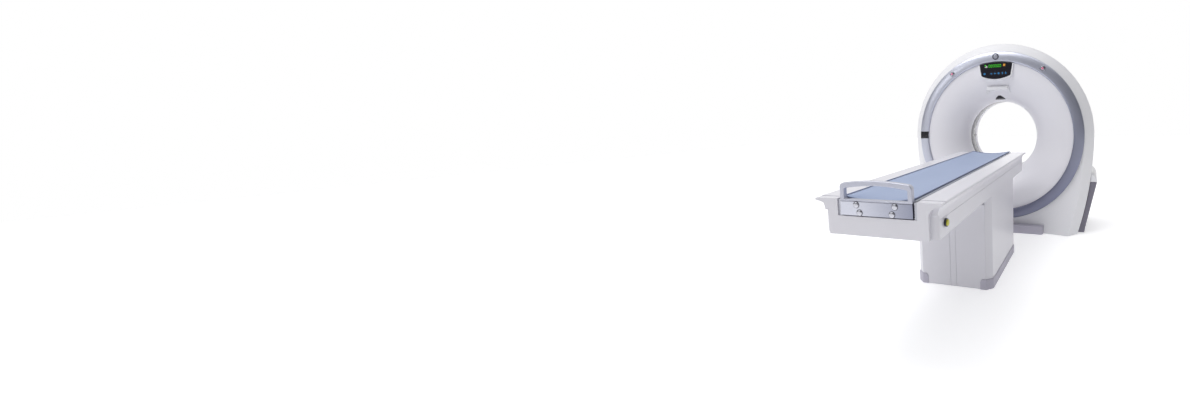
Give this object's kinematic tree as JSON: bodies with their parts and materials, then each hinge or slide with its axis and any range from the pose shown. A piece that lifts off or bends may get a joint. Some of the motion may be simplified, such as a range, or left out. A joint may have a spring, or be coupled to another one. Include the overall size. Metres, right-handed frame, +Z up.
{
  "type": "ct scanner",
  "caption": "Floor-standing ring scanner with a dished bore, a rotating inner assembly and a docked patient table whose top lifts and whose cradle slides into the bore.",
  "frame": {"origin": "on the floor straight under the isocentre, on the underside of the gantry's middle cross member", "axes": "+Y along the bore's axis, from the table's foot into the gantry; +X to the right seen from the table; +Z up"},
  "size_m": [1.864, 3.091, 1.84],
  "materials": {
    "painted_steel": "painted",
    "bearing_steel": "ground",
    "column_steel": "painted",
    "tube_housing": "painted",
    "unit_grey": "painted",
    "circuit_green": "painted",
    "slip_brass": "turned",
    "black_rubber": "matt",
    "black_plastic": "satin",
    "white_cover": "satin moulded",
    "funnel_white": "satin moulded",
    "ring_paint": "satin painted",
    "window_smoke": "smooth",
    "flank_grey": "satin moulded",
    "floor_grey": "moulded",
    "display_green": "lit",
    "key_blue": "printed",
    "bright_metal": "satin",
    "stop_red": "moulded",
    "table_white": "satin moulded",
    "frame_aluminium": "extruded",
    "release_yellow": "moulded",
    "cradle_grey": "moulded",
    "mat_blue": "coated fabric",
    "brushed_plate": "brushed"
  },
  "bodies": {
    "base": {"base_frame": "painted_steel", "stator_frame": "painted_steel", "bearing_outer_race": "bearing_steel", "brush_block": "black_plastic", "drive_motor": "column_steel", "drive_belt": "black_rubber", "front_cover": "white_cover", "front_funnel": "funnel_white", "accent_ring": "ring_paint", "top_cover": "white_cover", "side_covers": "white_cover", "rear_cover": "white_cover", "rear_funnel": "funnel_white", "scan_window": "window_smoke", "rear_liner": "funnel_white", "flank_covers": "flank_grey", "flank_caps": "white_cover", "floor_plinth": "floor_grey", "cable_trough": "floor_grey", "panel_pod": "white_cover", "panel_face": "black_plastic", "panel_display": "display_green", "panel_keys": "key_blue", "laser_brow": "white_cover", "laser_windows": "black_plastic", "ring_badge": "bright_metal", "side_plate": "black_plastic", "stop_bezels": "bright_metal", "table_base": "painted_steel", "pedestal_end_panels": "table_white", "pedestal_side_panels": "table_white", "pedestal_bumpers": "floor_grey", "lift_columns_outer": "column_steel"},
    "rotor": {"rotor_disc": "painted_steel", "bearing_inner_race": "bearing_steel", "xray_tube": "tube_housing", "beam_collimator": "tube_housing", "detector_arc": "unit_grey", "power_inverter": "unit_grey", "high_voltage_tank": "unit_grey", "counterweight": "unit_grey", "data_unit": "circuit_green", "slip_ring": "slip_brass"},
    "motor_pulley": {"motor_pulley": "bearing_steel"},
    "stop_button_left": {"stop_button_left": "stop_red"},
    "stop_button_right": {"stop_button_right": "stop_red"},
    "tabletop": {"lift_columns_inner": "bearing_steel", "table_frame": "frame_aluminium", "inner_sleeve": "table_white", "beam_covers": "table_white", "table_end_covers": "table_white", "cradle_drive": "column_steel", "side_release_collar": "black_plastic"},
    "side_release": {"side_release": "release_yellow"},
    "drive_wheel": {"drive_wheel": "black_rubber"},
    "cradle": {"cradle": "cradle_grey", "mattress": "mat_blue", "end_plate": "brushed_plate", "screw_caps": "bright_metal", "end_handle": "table_white"}
  },
  "joints": [
    {"name": "rotor_spin", "type": "hinge", "parent": "base", "child": "rotor", "pos_m": [0, 0, 0.94], "axis": [0, 1, 0], "continuous": true},
    {"name": "motor_pulley_spin", "type": "hinge", "parent": "base", "child": "motor_pulley", "pos_m": [0.61, 0, 0.142], "axis": [0, 1, 0], "continuous": true},
    {"name": "stop_left_press", "type": "slide", "parent": "base", "child": "stop_button_left", "axis": [0, 1, 0], "range_m": [0, 0.004], "stiffness_N_per_m": 1200},
    {"name": "stop_right_press", "type": "slide", "parent": "base", "child": "stop_button_right", "axis": [0, 1, 0], "range_m": [0, 0.004], "stiffness_N_per_m": 1200},
    {"name": "table_lift", "type": "slide", "parent": "base", "child": "tabletop", "axis": [0, 0, 1], "range_m": [-0.14, 0.1]},
    {"name": "side_release_press", "type": "slide", "parent": "tabletop", "child": "side_release", "axis": [-1, 0, 0], "range_m": [0, 0.003], "stiffness_N_per_m": 1200},
    {"name": "cradle_slide", "type": "slide", "parent": "tabletop", "child": "cradle", "axis": [0, 1, 0], "range_m": [0, 1.4]},
    {"name": "drive_wheel_spin", "type": "hinge", "parent": "tabletop", "child": "drive_wheel", "pos_m": [0, -0.76, 0.7517], "axis": [1, 0, 0], "range_deg": [-4100, 4100]}
  ],
  "couplings": [
    {"joint": "motor_pulley_spin", "follows": "rotor_spin", "ratio": 13.167},
    {"joint": "drive_wheel_spin", "follows": "cradle_slide", "rad_per_m": -49.261}
  ]
}
